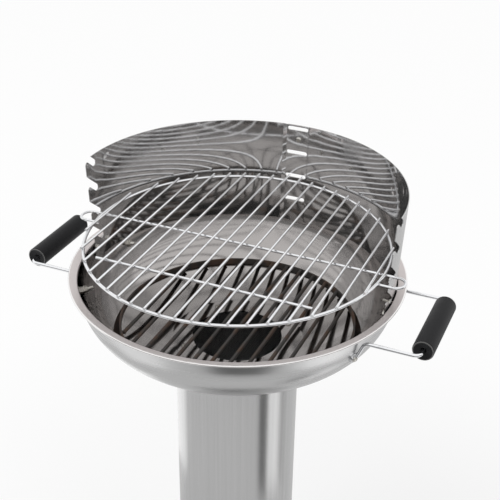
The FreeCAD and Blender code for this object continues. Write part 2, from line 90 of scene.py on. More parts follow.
# Cards for the mirrors: name, lower and upper edge (r, z), first and last angle in degrees from the
# camera's side, and the tone at each edge, where 1 is white
NEAR_LOW, NEAR_HIGH = (0.30, 0.16), (0.30, 0.485)
CARDS = (
    ("inner_card", (0.13, 0.003), (0.80, 0.003), -180, 180, 0.66, 0.66),
    ("floor_card", (0.80, 0.003), (1.70, 0.003), -48, 36, 0.66, 0.66),
    ("side_card", (0.80, 0.003), (2.20, 0.003), 100, 150, 0.66, 0.66),
    ("rear_card", (0.80, 0.003), (2.20, 0.003), 150, 262, 0.78, 0.78),
    ("right_floor_glow", (0.70, 0.005), (1.50, 0.005), 46, 81, 1.32, 1.32),
    ("left_floor_glow", (0.62, 0.005), (1.50, 0.005), -91, -52, 1.12, 1.12),
    ("left_glow", NEAR_LOW, NEAR_HIGH, -150, -98, 1.18, 1.18),
    ("column_card", NEAR_LOW, NEAR_HIGH, -98, 36, 0.67, 0.67),
    ("near_flag", NEAR_LOW, NEAR_HIGH, 36, 51.5, 0.16, 0.16),
    ("right_glow", NEAR_LOW, NEAR_HIGH, 51.5, 76, 1.10, 1.10),
    ("far_flag", NEAR_LOW, NEAR_HIGH, 76, 89, 0.50, 0.50),
    ("edge_card", NEAR_LOW, NEAR_HIGH, 89, 150, 0.67, 0.67),
    ("front_card", (0.58, 0.20), (0.58, 0.52), -16, 20, 0.02, 0.14),
    ("belt", (0.75, 0.36), (0.75, 0.715), -75, 75, 0.60, 0.09),
    ("curtain", (2.60, 0.00), (2.60, 1.25), -80, 80, 0.12, 0.30),
)


def named(start):
    """Names of the CAD nodes that begin with a word, in order."""
    return sorted(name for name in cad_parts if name.startswith(start))


GRATE_BARS = named("grate_bar_")
CHARCOAL_BARS = named("charcoal_bar_")
FOOT_PADS = named("foot_pad_")


def length(title, about, default):
    """A length property in metres."""
    return FloatProperty(
        name=title, description=about, default=default, min=0.0, unit="LENGTH", precision=5)


def number(title, about, default, unit="NONE"):
    """A number property that may be negative."""
    return FloatProperty(name=title, description=about, default=default, unit=unit, precision=4)


def angle(title, about, default):
    """An angle property, given in degrees."""
    radians = math.radians(default)
    return FloatProperty(name=title, description=about, default=radians, subtype="ANGLE")


def share(title, about, default):
    """A property between nothing and all."""
    return FloatProperty(
        name=title, description=about, default=default, min=0.0, max=1.0, subtype="FACTOR")


def colour(title, about, default):
    """A linear colour property."""
    return FloatVectorProperty(
        name=title, description=about, default=default, size=3, min=0.0, max=1.0, subtype="COLOR")


class GrillSheet(PropertyGroup):
    """Sizes of the sheet pieces, as the frame has them."""

    sheet: length("Sheet", "Thickness of the bowl's and the column's sheet", 0.0015)
    rim_width: length("Rim width", "Width of the flat rim", 0.0145)
    rim_lip: length("Rim lip", "Height of the turned-down lip", 0.003)
    rim_bend: length("Rim bend", "Radius of the bends at the rim", 0.002)
    rim_rise: length("Rim rise", "How far the rim's outer edge stands over its inner edge", 0.0026)
    band: length("Band", "Height of the straight wall under the rim", 0.004)
    blend: length("Blend radius", "Radius between the wall and the dish", 0.106)
    dish: length("Dish radius", "Radius of the dish", 0.300)
    floor: length("Floor radius", "Radius at which the dish meets the floor", 0.104)
    hole: length("Hole radius", "Radius of the hole in the floor", 0.072)
    steps: IntProperty(name="Steps", description="Facets round the bowl", default=256, min=32)
    hem: length("Hem radius", "Radius of the rolled edges of collar and foot", 0.0012)
    hem_sink: length("Hem sink", "How deep the collar's hems lie in its sheet", 0.0003)
    foot: length("Foot sheet", "Thickness of the foot plate's sheet", 0.002)
    shield: length("Windshield sheet", "Thickness of the windshield's sheets", 0.0012)
    lap_gap: length("Lap gap", "Gap between the sheets where they lap", 0.00015)
    flare: angle("Flare", "Lean of the windshield", 2.7)


class GrillGrip(PropertyGroup):
    """Sizes of the ends of the grips."""

    bore: length("Bore", "Radius of the bore", 0.00283)
    bore_depth: length("Bore depth", "How deep the countersink goes", 0.004)
    mouth: length("Mouth", "Radius of the countersink's mouth", 0.0052)
    mouth_drop: length("Mouth drop", "How far the mouth lies under the dish", 0.0006)
    edge: length("Edge", "Radius of the rounded edge", 0.0022)
    dish: length("Dish", "How far the end is dished", 0.0009)


class GrillFasteners(PropertyGroup):
    """Sizes of screws, nuts, washers, rivets and welds."""

    head: length("Head radius", "Radius of a pan head", 0.0048)
    head_height: length("Head height", "Height of a pan head", 0.0030)
    bolt: length("Bolt radius", "Outer radius of the thread", 0.0029)
    pitch: length("Thread pitch", "Distance between two turns of the thread", 0.0011)
    nut: length("Nut flat", "Half the width of a nut across its flats", 0.0046)
    nut_height: length("Nut height", "Height of a nut", 0.0042)
    washer: length("Washer radius", "Outer radius of a washer", 0.0066)
    washer_sheet: length("Washer sheet", "Thickness of a washer", 0.0010)
    weld: length("Weld radius", "Half width of a wire weld", 0.0027)
    rivet: length("Rivet radius", "Radius of the rivets of the ash pan's front", 0.0042)
    rivet_x: length("Rivet place", "Distance of the rivets from the middle", 0.034)
    eyelet: length("Eyelet", "Thickness of an eyelet", 0.00402)
    reach: length("Bolt reach", "How far the handle bolts stand into the bowl", 0.0145)
    foot_y: length("Handle half pitch", "Half the distance between a handle's feet", 0.081)
    foot_shift: number("Handle shift", "Middle of a handle along Y", -0.0145, "LENGTH")
    foot_drop: length("Handle foot drop", "Height of the eyelets under the rim", 0.041)
    shield_front: number("Front screw", "Front screw of the windshield's ends", -0.016, "LENGTH")
    shield_back: number("Back screw", "Back screw of the windshield's ends", 0.018, "LENGTH")
    shield_drop: length("End screw drop", "Height of the end screws under the rim", 0.008)
    shield_reach: length("End screw reach", "How far the end screws stand into the bowl", 0.0044)
    shield_scale: share("End screw scale", "Size of the end screws against the others", 0.76)
    lap_shift: number("Lap screw shift", "Place of the lap screw along X", 0.002, "LENGTH")
    lap_rise: length("Lap screw rise", "Height of the lap screw over the rim", 0.121)
    lap_past: number("Lap screw end", "Screw past the sheets, in nut heights", 1.4)
    flange: length("Flange bolt radius", "Radius of the circle of bolts in the flanges", 0.090)
    flange_past: number("Flange bolt end", "Bolt past the flanges, in nut heights", 1.3)


class GrillColours(PropertyGroup):
    """Colours of the finishes."""

    steel: colour("Steel", "Satin steel sheet", (0.588, 0.587, 0.587))
    rim: colour("Rim", "Flat rim of the bowl", (0.62, 0.575, 0.565))
    # The lip's pale colour is a painted highlight along the rim's outer edge
    lip: colour("Lip", "Lip of the rim, rubbed bright", (0.90, 0.885, 0.875))
    polish: colour("Polish", "Polished steel sheet", (0.608, 0.603, 0.601))
    chrome: colour("Chrome", "Chromed wire", (0.76, 0.765, 0.78))
    zinc: colour("Zinc", "Screws, nuts and rivets", (0.66, 0.64, 0.60))
    scale: colour("Scale", "Dark wire of the charcoal grate", (0.055, 0.050, 0.047))
    # A darker tone for the inside of the bowl than for its outside
    inside_tone: colour("Heat tint", "Inside of the bowl, darkened by heat", (0.44, 0.42, 0.41))
    plastic: colour("Plastic", "Black grips and knobs", (0.010, 0.010, 0.011))
    # The pale edges of the grips are a painted highlight
    painted_highlight: colour("Worn plastic", "Edges of the grips, rubbed pale", (0.095, 0.093, 0.092))
    rubber: colour("Rubber", "Pads under the foot", (0.022, 0.022, 0.022))


class GrillStudio(PropertyGroup):
    """Camera, lamps and floor."""

    azimuth: angle("Azimuth", "Camera to the right of the front", 23.63)
    elevation: angle("Elevation", "Camera above the horizon", 30.35)
    roll: angle("Roll", "Turn of the camera about its own axis", 0.43)
    distance: length("Distance", "Camera from the middle of the rim", 1.588)
    lens: number("Lens", "Focal length in millimetres", 73.35)
    shift_x: number("Shift X", "Sideways shift of the frame", 0.0246)
    shift_y: number("Shift Y", "Upwards shift of the frame", 0.0381)
    ambient: share("Ambient", "Strength of the even light", 0.50)
    key: number("Key", "Power of the large lamp", 95.0, "POWER")
    fill: number("Fill", "Power of the side lamp", 22.0, "POWER")
    floor: share("Floor white", "How much the floor glows for the camera far from the grill", 0.95)
    floor_near: share("Near white", "How much it glows next to the grill", 0.70)
    near: length("Near", "Distance from the axis up to which the floor is near", 0.25)
    far: length("Far", "Distance from the axis after which the floor is far", 1.2)
    reach: length("Floor reach", "Half the width of the floor", 14.0)


def arithmetic(operation):
    """Two methods that put a Math node between a signal and a value: as written, and reflected."""
    def plain(self, other):
        return self.math(operation, self, other)

    def reflected(self, other):
        return self.math(operation, other, self)

    return plain, reflected


class Signal:
    """A socket of a node tree. Arithmetic on signals adds Math nodes."""

    __add__, __radd__ = arithmetic("ADD")
    __sub__, __rsub__ = arithmetic("SUBTRACT")
    __mul__, __rmul__ = arithmetic("MULTIPLY")
    __truediv__, __rtruediv__ = arithmetic("DIVIDE")
    __pow__, __rpow__ = arithmetic("POWER")

    def __init__(self, net, socket):
        self.net = net
        self.socket = socket

    def math(self, operation, first, second):
        """One Math node on two values."""
        return self.net.add("ShaderNodeMath", {"operation": operation}, {0: first, 1: second})


class Net:
    """A node tree that is being filled."""

    def __init__(self, tree):
        self.tree = tree
        tree.nodes.clear()

    def add(self, kind, settings=None, inputs=None, output=0):
        """A node of a kind: its settings come first, then the values or links of its sockets."""
        node = self.tree.nodes.new(kind)
        for key, value in (settings or {}).items():
            setattr(node, key, value)
        for key, value in (inputs or {}).items():
            if isinstance(value, Signal):
                self.tree.links.new(value.socket, node.inputs[key])
            else:
                node.inputs[key].default_value = value
        return Signal(self, node.outputs[output] if len(node.outputs) else None)

    def split(self, vector):
        """The three parts of a vector."""
        parts = self.add("ShaderNodeSeparateXYZ", inputs={0: vector})
        return [Signal(self, socket) for socket in parts.socket.node.outputs]

    def joined(self, x, y, z):
        """A vector from three values."""
        return self.add("ShaderNodeCombineXYZ", inputs={0: x, 1: y, 2: z})

    def stretched(self, x, y, z, across, along):
        """A vector from three values, with one scale for x and y and another for z."""
        return self.joined(x * across, y * across, z * along)

    def away(self, x, y):
        """Distance from the column's axis."""
        return (x * x + y * y) ** 0.5

    def stepped(self, value, low, high):
        """Smooth step of a value from 0 at low to 1 at high."""
        inputs = {"Value": value, "From Min": low, "From Max": high}
        return self.add("ShaderNodeMapRange", {"interpolation_type": "SMOOTHSTEP"}, inputs)

    def tint(self, factor, first, second):
        """Mix of two colours."""
        inputs = {0: factor, 6: (*first, 1.0), 7: (*second, 1.0)}
        return self.add("ShaderNodeMix", {"data_type": "RGBA"}, inputs, 2)

    def shades(self, factor, base, low, high):
        """Mix of a colour times low and the same colour times high."""
        return self.tint(factor, shaded(base, low), shaded(base, high))

    def bump(self, height, strength, distance):
        """Normal from a height in the range 0 to 1, over a distance in metres."""
        inputs = {"Height": height, "Strength": strength, "Distance": distance}
        return self.add("ShaderNodeBump", None, inputs)

    def output(self, shader, kind="ShaderNodeOutputMaterial"):
        """The end of the tree."""
        self.add(kind, None, {"Surface": shader})


class Finish(Net):
    """The node tree of a new material, with the object coordinates as its place."""

    def __init__(self, name):
        self.material = bpy.data.materials.new(name)
        self.material.use_nodes = True
        super().__init__(self.material.node_tree)
        self.place = self.add("ShaderNodeTexCoord", output="Object")

    def noise(self, scale=1.0, detail=2.0, rough=0.5, vector=None):
        """Noise between 0 and 1 over a vector, or over the place."""
        vector = vector or self.place
        inputs = {"Vector": vector, "Scale": scale, "Detail": detail, "Roughness": rough}
        return self.add("ShaderNodeTexNoise", {"noise_dimensions": "3D"}, inputs)

    def surface(self, tone, rough, normal, constants):
        """End the tree with one shader and return the material."""
        inputs = {"Base Color": tone, "Roughness": rough, "Normal": normal, **constants}
        self.output(self.add("ShaderNodeBsdfPrincipled", None, inputs))
        return self.material


def shaded(value, factor):
    """A colour times a number."""
    return tuple(part * factor for part in value)


def spun_steel(name, base, rough, lines, gloss_lines, anisotropic):
    """Sheet turned on a lathe: fine rings about the column's axis, broad bands and soft smudges.

    Rings and bands change the colour by the share in lines and the roughness by gloss_lines.
    """
    net = Finish(name)
    x, y, z = net.split(net.place)
    section = net.joined(net.away(x, y), z, 0.0)
    rings = net.noise(scale=620.0, detail=4.0, rough=0.7, vector=section)
    broad = net.noise(scale=70.0, vector=section)
    smudge = net.noise(scale=7.0, detail=3.0)
    mask = rings * 0.6 + broad * 0.4
    return net.surface(
        net.shades(mask, base, 1 - lines, 1 + lines),
        rough + gloss_lines * (mask - 0.5) + 0.10 * (smudge - 0.5),
        net.bump(rings, strength=0.06, distance=0.0002),
        {"Metallic": 1.0, "Anisotropic": anisotropic})


def drawn_steel(name, base, rough):
    """Sheet brushed up and down: fine upright streaks all round, broad bands and soft smudges."""
    net = Finish(name)
    x, y, z = net.split(net.place)
    radius = net.away(x, y)
    east, north = x / radius, y / radius
    streaks = net.stretched(east, north, z, across=160.0, along=5.0)
    hair = net.noise(detail=4.0, rough=0.75, vector=streaks)
    bands = net.noise(detail=3.0, vector=net.stretched(east, north, z, across=22.0, along=0.8))
    smudge = net.noise(scale=8.0, detail=3.0)
    mask = hair * 0.55 + bands * 0.45
    return net.surface(
        net.shades(mask, base, 0.82, 1.18),
        rough + 0.16 * (mask - 0.5) + 0.10 * (smudge - 0.5),
        net.bump(hair, strength=0.05, distance=0.0002),
        {"Metallic": 1.0, "Anisotropic": 0.4, "Anisotropic Rotation": 0.25})


def polished_sheet(name, base, rough, satin, wave, sizes):
    """Rolled sheet of the windshield, with faint level rolling lines and hand smears.

    Its inner face is a mirror that waves a little, under a thin haze. Its outer face, past the
    middle of the sheet, is satin.
    """
    net = Finish(name)
    x, y, z = net.split(net.place)
    middle = shield_radius(sizes, 0.0) - sizes.shield / 2
    past = net.away(x, y) - z * math.tan(sizes.flare) - middle
    outside = net.stepped(past, low=-0.0002, high=0.0002)
    swell = net.noise(scale=9.0, detail=1.0)
    level = net.stretched(x, y, z, across=6.0, along=420.0)
    rolling = net.noise(detail=3.0, rough=0.6, vector=level)
    smear = net.stepped(net.noise(scale=14.0, detail=4.0, rough=0.6), low=0.48, high=0.72)
    return net.surface(
        net.shades(rolling, base, 0.95, 1.04),
        rough + 0.05 * smear + 0.04 * (rolling - 0.5) + (satin - rough) * outside,
        net.bump(swell * 0.92 + rolling * 0.08, strength=wave, distance=0.002),
        {"Metallic": 0.945})


def chromed_wire(name, base, rough):
    """Bright plated wire with a slight ripple and dull spots."""
    net = Finish(name)
    ripple = net.noise(scale=90.0)
    dull = net.stepped(net.noise(scale=38.0, detail=4.0, rough=0.65), low=0.52, high=0.74)
    return net.surface(
        net.shades(dull, base, 1.0, 0.82),
        rough + 0.16 * dull,
        net.bump(ripple, strength=0.08, distance=0.0006),
        {"Metallic": 1.0})


def plated_steel(name, base, rough, grain):
    """Zinc on fasteners and plain plate: cloudy, with a fine grain."""
    net = Finish(name)
    cloud = net.noise(scale=160.0, detail=3.0)
    fine = net.noise(scale=1400.0, detail=3.0)
    return net.surface(
        net.shades(cloud, base, 0.78, 1.12),
        rough + 0.22 * (cloud - 0.5),
        net.bump(fine, strength=grain, distance=0.0002),
        {"Metallic": 1.0})


def scaled_wire(name, base):
    """Dark oiled wire of the charcoal grate with brown scale in patches."""
    net = Finish(name)
    patch = net.stepped(net.noise(scale=26.0, detail=5.0, rough=0.65), low=0.45, high=0.68)
    grit = net.noise(scale=600.0, detail=4.0, rough=0.7)
    brown = (base[0] * 2.0, base[1] * 1.35, base[2])
    return net.surface(
        net.tint(patch, base, brown),
        0.48 + 0.22 * patch,
        net.bump(grit * 0.7 + patch * 0.3, strength=0.25, distance=0.0005),
        {"Metallic": 0.35})


def moulded_plastic(name, base, rough):
    """Black moulded plastic: a fine spark grain, faint flow marks and dust in the grain."""
    net = Finish(name)
    grain = net.noise(scale=1500.0, detail=3.0, rough=0.6)
    flow = net.noise(scale=30.0, detail=3.0)
    dust = net.stepped(net.noise(scale=420.0, detail=5.0, rough=0.7), low=0.60, high=0.85)
    return net.surface(
        net.shades(dust * 0.6 + flow * 0.2, base, 1.0, 2.6),
        rough + 0.14 * (flow - 0.5),
        net.bump(grain, strength=0.22, distance=0.0004),
        {"Specular IOR Level": 0.14})


def pad_rubber(name, base):
    """Dull rubber with a coarse skin and grey bloom."""
    net = Finish(name)
    skin = net.noise(scale=700.0, detail=3.0)
    bloom = net.stepped(net.noise(scale=60.0, detail=4.0), low=0.45, high=0.75)
    return net.surface(
        net.shades(bloom, base, 1.0, 2.2),
        0.72 + 0.16 * bloom,
        net.bump(skin, strength=0.3, distance=0.0006),
        {"Specular IOR Level": 0.3})


def dress(nodes, material):
    """Give CAD nodes a finish in their own material slot."""
    for name in nodes:
        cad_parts[name].material_slots[0].material = material


def arc(centre, radius, start, end, count):
    """Points (r, z) on a circle about a centre, between two angles in degrees."""
    turn = np.radians(np.linspace(start, end, count))
    return np.stack([centre[0] + radius * np.cos(turn), centre[1] + radius * np.sin(turn)], axis=-1)


def turned(profile, steps):
    """Surface of revolution P(u, v) = (r(v) cos u, r(v) sin u, z(v)) of profile points (r, z)."""
    u = np.linspace(0.0, TURN, steps, endpoint=False)[:, None]
    r, z = np.asarray(profile).T
    return np.stack([np.cos(u) * r, np.sin(u) * r, np.broadcast_to(z, (steps, len(z)))], axis=-1)


def placed(grid, origin, axis):
    """The grid with its local Z along an axis and its local origin at a point."""
    z = np.asarray(axis, float) / np.linalg.norm(axis)
    helper = (0.0, 0.0, 1.0) if abs(z[2]) < 0.9 else (1.0, 0.0, 0.0)
    x = np.cross(helper, z)
    x /= np.linalg.norm(x)
    return np.asarray(origin) + grid @ np.stack([x, np.cross(z, x), z])


def grid_faces(rows, columns, loop):
    """Corners of the faces of a grid that closes along its rows, and if it loops, its columns."""
    i = np.arange(rows)[:, None]
    j = np.arange(columns if loop else columns - 1)[None, :]
    k = (i + 1) % rows
    m = (j + 1) % columns
    corners = (i * columns + j, k * columns + j, k * columns + m, i * columns + m)
    return np.stack(np.broadcast_arrays(*corners), axis=-1).reshape(-1, 4)


def piece(name, grids, body, materials, loop=False, bands=None, crease=35.0):
    """One mesh from closed point grids, riding on a body.

    Bands give the material of each grid column. Edges sharper than the crease, in degrees, stay
    sharp.
    """
    mesh = bpy.data.meshes.new(name)
    faces = []
    start = 0
    for grid in grids:
        rows, columns = grid.shape[:2]
        faces.append(grid_faces(rows, columns, loop) + start)
        start += rows * columns
    points = np.concatenate([grid.reshape(-1, 3) for grid in grids])
    mesh.from_pydata(points, [], np.concatenate(faces).tolist())
    for material in materials:
        mesh.materials.append(material)
    if bands is not None:
        numbers = np.concatenate([np.tile(bands, grid.shape[0]) for grid in grids])
        mesh.polygons.foreach_set("material_index", numbers.astype(np.int32))
    work = bmesh.new()
    work.from_mesh(mesh)
    bmesh.ops.remove_doubles(work, verts=work.verts, dist=MERGE)
    bmesh.ops.dissolve_degenerate(work, edges=work.edges, dist=SLIVER)
    work.to_mesh(mesh)
    work.free()
    mesh.shade_smooth()
    mesh.set_sharp_from_angle(angle=math.radians(crease))
    made = bpy.data.objects.new(name, mesh)
    bpy.context.scene.collection.objects.link(made)
    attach(made, body)
    return made


def bowl_curves(sizes):
    """Blend centre, dish centre and the angle in degrees at which the two arcs of the bowl meet.

    The dish runs through the edge of the floor and touches the blend from outside.
    """
    wall = RIM_RADIUS - sizes.rim_width + sizes.sheet
    blend = np.array([wall - sizes.blend, RIM_HEIGHT - sizes.band])
    across = np.array([sizes.floor, BOWL_BOTTOM]) - blend
    span = np.hypot(*across)
    inner = sizes.dish - sizes.blend
    along = (inner ** 2 - sizes.dish ** 2 + span ** 2) / (2 * span)
    off = math.sqrt(inner ** 2 - along ** 2)
    unit = across / span
    dish = blend + unit * along + np.array([unit[1], -unit[0]]) * off
    return blend, dish, math.degrees(math.atan2(*(blend - dish)[::-1]))


def bowl_wall(sizes, inset=0.0):
    """Profile (r, z) of the bowl's outer face from the floor to the band, or of a face inset."""
    blend, dish, meeting = bowl_curves(sizes)
    low = BOWL_BOTTOM + inset
    foot = math.degrees(math.asin((low - dish[1]) / (sizes.dish - inset)))
    lower = arc(dish, sizes.dish - inset, foot, meeting, 40)
    upper = arc(blend, sizes.blend - inset, meeting, 0.0, 24)
    return np.concatenate([lower, upper[1:]])


def wall_spot(sizes, y, z, side):
    """Point on the bowl's outer face at a place y and height z on one side, and its normal."""
    profile = bowl_wall(sizes)
    radius = np.interp(z, profile[:, 1], profile[:, 0])
    rise = np.gradient(profile, axis=0)
    lean = np.interp(z, profile[:, 1], np.arctan2(-rise[:, 0], rise[:, 1]))
    x = side * math.sqrt(radius ** 2 - y ** 2)
    across = math.cos(lean) / radius
    return np.array([x, y, z]), np.array([across * x, across * y, math.sin(lean)])


def shield_radius(sizes, z):
    """Radius of the windshield's outer face at a height: it grows upwards with the flare."""
    return SHIELD_HIGH.x - (SHIELD_HIGH.z - z) * math.tan(sizes.flare)


def bowl_grid(sizes):
    """The spun bowl as one turned surface, and which finish each band of it takes.

    The profile runs out along the floor, up the outer wall, round the lip, over the rim, which
    rises evenly to its outer edge, and down inside. Finish 0 is the outside, 1 the lip, 2 the rim
    and 3 the inside.
    """
    sheet = sizes.sheet
    bend = sizes.rim_bend
    bend_start = RIM_RADIUS - sizes.rim_width + bend
    bend_low = RIM_HEIGHT - bend
    hem = (RIM_RADIUS - sheet / 2, RIM_HEIGHT - sizes.rim_lip + sheet / 2)
    rounded = arc((RIM_RADIUS - bend, bend_low), bend, 0, 90, 8)
    outside = np.concatenate([
        [[sizes.hole, BOWL_BOTTOM]],
        bowl_wall(sizes),
        arc((bend_start, bend_low), bend - sheet, 180, 90, 6),
    ])
    lip = np.concatenate([
        [[RIM_RADIUS - sheet, RIM_HEIGHT - sheet]],
        arc(hem, sheet / 2, 180, 360, 9),
        rounded[:-1],
    ])
    rim = np.concatenate([rounded[-1:], arc((bend_start, bend_low), bend, 90, 180, 8)])
    inside = np.concatenate([bowl_wall(sizes, sheet)[::-1], [[sizes.hole, BOWL_BOTTOM + sheet]]])
    for part in (lip, rim):
        share_out = (part[:, 0] - bend_start) / (sizes.rim_width - bend)
        part[:, 1] += sizes.rim_rise * np.clip(share_out, 0.0, 1.0)
    parts = (outside, lip, rim, inside)
    bands = np.repeat(np.arange(len(parts)), [len(part) for part in parts])
    return turned(np.concatenate(parts), sizes.steps), bands


def pan_head(sizes):
    """Pan head on a flat base with a cross recess.

    Side and dome: r(v) = R cos t, z(v) = h (0.35 + 0.65 sin t). The recess sinks the dome where x
    or y lies within the slot's half width, faded over a short way. Slot, arm and fade are in head
    radii.
    """
    radius, height = sizes.head, sizes.head_height
    slot, arm, fade = 0.13, 0.62, 0.06
    depth = 0.45 * height
    t = np.linspace(0.0, math.pi / 2, 22)
    dome = np.stack([radius * np.cos(t), height * (0.35 + 0.65 * np.sin(t))], axis=-1)
    grid = turned(np.concatenate([[[0.0, 0.0], [radius, 0.0]], dome]), 72)
    x, y = np.abs(grid[..., 0]) / radius, np.abs(grid[..., 1]) / radius

    def within(limit, value):
        return np.clip((limit - value) / fade + 0.5, 0, 1)

    cross = np.maximum(within(slot, x) * within(arm, y), within(slot, y) * within(arm, x))
    on_dome = grid[..., 2] > 0.5 * height
    grid[..., 2] -= np.where(on_dome, depth * cross, 0.0)
    return grid


def hex_nut(sizes):
    """Hexagon nut: side r(u) = flat / cos(u from the middle of a side), with coned ends.

    The cones rise by 30 degrees from just inside the flats, and cut the corners.
    """
    steps = 48
    u = np.linspace(0.0, TURN, steps, endpoint=False)
    ring = np.ones(steps)
    side = sizes.nut / np.cos(np.mod(u, TURN / 6) - TURN / 12)
    end = 0.97 * sizes.nut
    cone = (side - end) * math.tan(math.radians(30))
    height = sizes.nut_height
    bore, face = sizes.bolt * ring, end * ring
    low, high = 0 * ring, height * ring
    r = np.stack([bore, face, side, side, face, bore], axis=-1)
    z = np.stack([low, low, cone, height - cone, high, high], axis=-1)
    return np.stack([r * np.cos(u)[:, None], r * np.sin(u)[:, None], z], axis=-1)


def thread(sizes, reach):
    """Threaded end: r(u, z) = R - d |2 frac(z / p - u / 2 pi) - 1|, closed flat at both ends.

    The last half turn is thinner.
    """
    depth = 0.6 * sizes.pitch
    tip = 0.86
    rows = 24
    columns = int(reach / sizes.pitch) * 6
    u = np.linspace(0.0, TURN, rows, endpoint=False)[:, None]
    z = np.linspace(0.0, reach, columns)[None, :]
    wave = np.abs(2 * np.mod(z / sizes.pitch - u / TURN, 1.0) - 1)
    r = (sizes.bolt - depth * wave) * np.where(z > reach - sizes.pitch / 2, tip, 1.0)
    grid = np.stack([r * np.cos(u), r * np.sin(u), np.broadcast_to(z, r.shape)], axis=-1)
    low = np.zeros((rows, 1, 3))
    high = np.tile([[[0.0, 0.0, reach]]], (rows, 1, 1))
    return np.concatenate([low, grid, high], axis=1)


def bolt(sizes, head, shank, nut, scale=1.0):
    """Head, thread and nut of a bolt.

    Head and nut are given as (point, axis), and the shank as (point, axis, length).
    """
    start, axis, reach = shank
    return (
        placed(scale * pan_head(sizes), *head),
        placed(scale * thread(sizes, reach / scale), start, axis),
        placed(scale * hex_nut(sizes), *nut),
    )


def bolt_pieces(name, bolts, zinc, washers=()):
    """One piece of the heads and threads of some bolts, and one of their nuts and washers."""
    closed = [grid for head, shank, _ in bolts for grid in (head, shank)]
    rings = [nut for _, _, nut in bolts] + list(washers)
    piece(f"{name}_bolts", closed, "stand", [zinc])
    piece(f"{name}_nuts", rings, "stand", [zinc], loop=True, crease=25.0)


def washer(sizes):
    """Flat washer with softened edges, as a turned loop."""
    low, high, top = sizes.bolt, sizes.washer, sizes.washer_sheet
    soft = 0.2 * top
    outer = [[high - soft, 0.0], [high, soft], [high, top - soft], [high - soft, top]]
    return turned([[low, 0.0], *outer, [low, top]], 40)


def bead(at, sizes, stretch):
    """Weld bead: a ball with a half width for each axis, whose waist swells and sinks three times.

    The swelling starts elsewhere on each bead, by its place along X.
    """
    u = np.linspace(0.0, TURN, 18, endpoint=False)[:, None]
    v = np.linspace(-math.pi / 2, math.pi / 2, 11)[None, :]
    phase = at[0] * 900
    waist = np.cos(v) * (1 + 0.06 * np.sin(3 * u + phase) * np.cos(v))
    ball = np.stack([np.cos(u) * waist, np.sin(u) * waist, np.sin(v) + 0 * u], axis=-1)
    return np.asarray(at) + ball * sizes.weld * np.asarray(stretch)


def hem_ring(radius, z, hem):
    """Rolled edge: a torus about the column's axis."""
    return turned(arc((radius, z), hem, 0, 360, 17)[:-1], 160)


def rivet(radius):
    """Low round rivet head: r(v) = R cos t, z(v) = 0.45 R sin t, on a flat base."""
    t = np.linspace(0.0, math.pi / 2, 10)
    dome = np.stack([radius * np.cos(t), 0.45 * radius * np.sin(t)], axis=-1)
    return turned(np.concatenate([[[0.0, 0.0]], dome]), 32)


def grip_grid(sizes, low, high):
    """Grip turned about Y: rounded edges, slightly dished ends and a countersunk bore.

    The dish ends 2.2 edge radii inside the grip's side. Finish 0 is the grip and 1 a paler band,
    a painted highlight, which takes five points of the rounding at each end.
    """
    radius = (high.x - low.x) / 2
    edge = sizes.edge
    face = [
        [sizes.bore, sizes.bore_depth],
        [sizes.mouth, sizes.dish + sizes.mouth_drop],
        [radius - 2.2 * edge, sizes.dish],
    ]
    half = np.concatenate([face, arc((radius - edge, edge), edge, 250, 360, 12)])
    other = half[::-1] * [1, -1] + [0, high.y - low.y]
    grid = turned(np.concatenate([half, other]), 96)
    # Points of the rounding at each end that take the painted highlight
    start, painted_highlight = len(face) + 2, 5
    bands = np.zeros(2 * len(half), int)
    bands[start:start + painted_highlight] = 1
    bands[-start - painted_highlight - 1:-start - 1] = 1
    middle = (low + high) / 2
    return placed(grid, (middle.x, low.y, middle.z), REAR), bands


class Fitting(Operator):
    """Common ground of the dressing steps."""

    bl_options = {"REGISTER", "UNDO"}


class GRILL_OT_bowl(Fitting):
    """Spin the bowl with its rim and lip, satin outside and bright inside"""

    bl_idname = "grill.bowl"
    bl_label = "Bowl"

    def execute(self, context):
        colours = context.scene.grill_colours
        # Name, colour, roughness, lines, gloss lines and anisotropy
        looks = (
            ("bowl_satin", colours.steel, 0.28, 0.09, 0.14, 0.5),
            # The lip takes the pale colour, a painted highlight along the rim's outer edge
            ("lip_rubbed", colours.lip, 0.18, 0.03, 0.06, 0.2),
            ("rim_satin", colours.rim, 0.34, 0.03, 0.08, 0.3),
            ("bowl_bright", colours.inside_tone, 0.09, 0.08, 0.06, 0.2),
        )
        finishes = [spun_steel(*look) for look in looks]
        grid, bands = bowl_grid(context.scene.grill_sheet)
        made = piece("bowl_spun", [grid], "stand", finishes,
                     loop=True, bands=bands, crease=30.0)
        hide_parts("fire_bowl")
        return {"FINISHED"}


